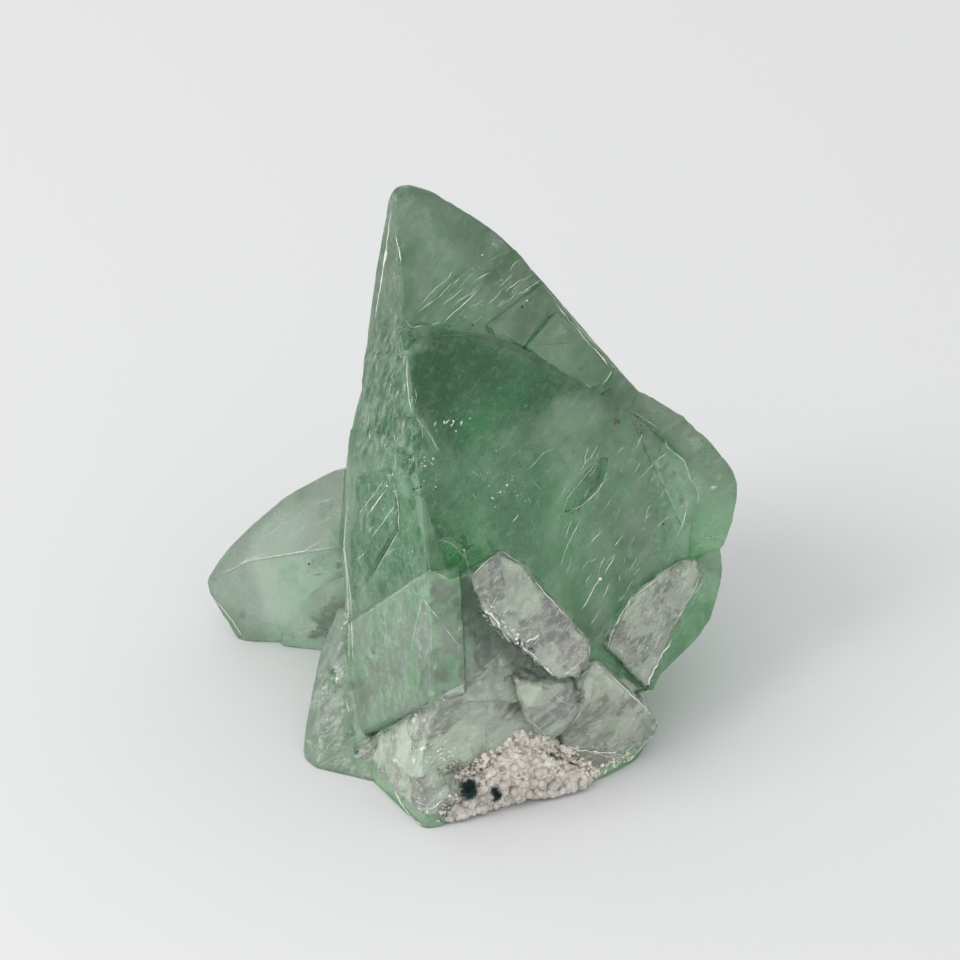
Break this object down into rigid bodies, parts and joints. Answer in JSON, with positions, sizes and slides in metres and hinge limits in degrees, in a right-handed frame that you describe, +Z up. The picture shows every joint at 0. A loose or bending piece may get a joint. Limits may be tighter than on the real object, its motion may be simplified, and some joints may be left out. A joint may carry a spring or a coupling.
{
  "type": "apophyllite crystal specimen",
  "caption": "Green apophyllite cluster: a steep pyramid behind a broad crystal, pale prisms at its foot, a crust of matrix and dark celadonite.",
  "frame": {"origin": "middle of the specimen's footprint box, on the surface that it stands on", "axes": "+Z up as it stands, +X to the right and -Y towards the front, where the great faces and the crust are"},
  "size_m": [0.0538, 0.0462, 0.0581],
  "materials": {
    "apophyllite_green": "milky translucent green crystal, vitreous, paler towards the foot",
    "matrix_beige": "granular beige matrix, dull, with small glassy grains",
    "celadonite_dark_green": "fine dark blue-green fibres, dull"
  },
  "bodies": {
    "root": {"crystal_cluster": "apophyllite_green", "matrix_crust": "matrix_beige", "celadonite_tuft_large": "celadonite_dark_green", "celadonite_tuft_small": "celadonite_dark_green"}
  },
  "joints": []
}
